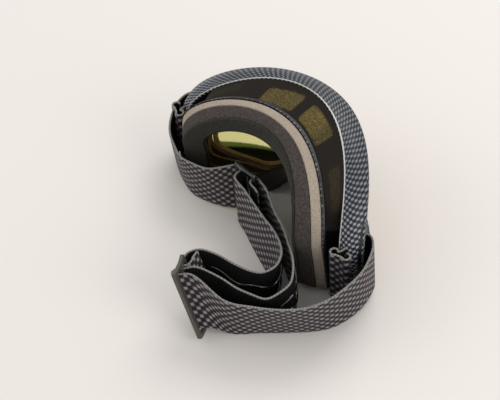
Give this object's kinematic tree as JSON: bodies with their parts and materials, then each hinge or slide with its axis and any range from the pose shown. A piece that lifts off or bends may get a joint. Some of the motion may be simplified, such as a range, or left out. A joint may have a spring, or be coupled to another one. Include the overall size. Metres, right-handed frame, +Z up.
{
  "type": "motocross goggles",
  "caption": "Wrap-round off-road goggles with a mirrored lens, three-layer face foam and a wide two-part elastic strap on three-bar sliders, standing with the strap folded in behind.",
  "frame": {"origin": "middle of the bounding box seen from above, on the table", "axes": "+X to the wearer's right, +Y forward through the lens, +Z up"},
  "size_m": [0.2006, 0.161, 0.09],
  "materials": {
    "frame_plastic": "moulded flexible plastic, satin, printed on its outer band",
    "lens_film": "polycarbonate with a gold mirror coating",
    "gasket_foam": "thin ochre sealing strip",
    "post_plastic": "clear moulded plastic",
    "tan_foam": "open-cell foam, tan",
    "grey_foam": "open-cell foam, brownish grey",
    "face_fleece": "fine fleece, greenish black",
    "vent_foam": "thin open-cell foam, black",
    "webbing": "printed elastic webbing",
    "silicone": "glossy clear silicone on black",
    "black_plastic": "glossy black moulding",
    "grey_plastic": "satin grey moulding"
  },
  "bodies": {
    "goggles": {"frame": "frame_plastic", "lens": "lens_film", "lens_gasket": "gasket_foam", "tear_off_posts": "post_plastic", "foam_base_layer": "tan_foam", "foam_middle_layer": "grey_foam", "foam_face_layer": "face_fleece", "top_vent_foam": "vent_foam", "bottom_vent_foam": "vent_foam", "left_strap": "webbing", "left_strap_grips": "silicone", "right_strap": "webbing", "right_strap_grips": "silicone"},
    "left_adjuster": {"left_slider": "black_plastic"},
    "right_adjuster": {"right_slider": "grey_plastic"}
  },
  "joints": [
    {"name": "left_slider_slide", "type": "slide", "parent": "goggles", "child": "left_adjuster", "axis": [0.9986, 0.0523, 0], "range_m": [-0.006, 0.006], "deforming": ["left_strap", "right_strap"]},
    {"name": "right_slider_slide", "type": "slide", "parent": "goggles", "child": "right_adjuster", "axis": [0.7493, 0.6622, 0], "range_m": [-0.004, 0.008], "deforming": ["left_strap", "left_strap_grips", "right_strap", "right_strap_grips"]}
  ]
}
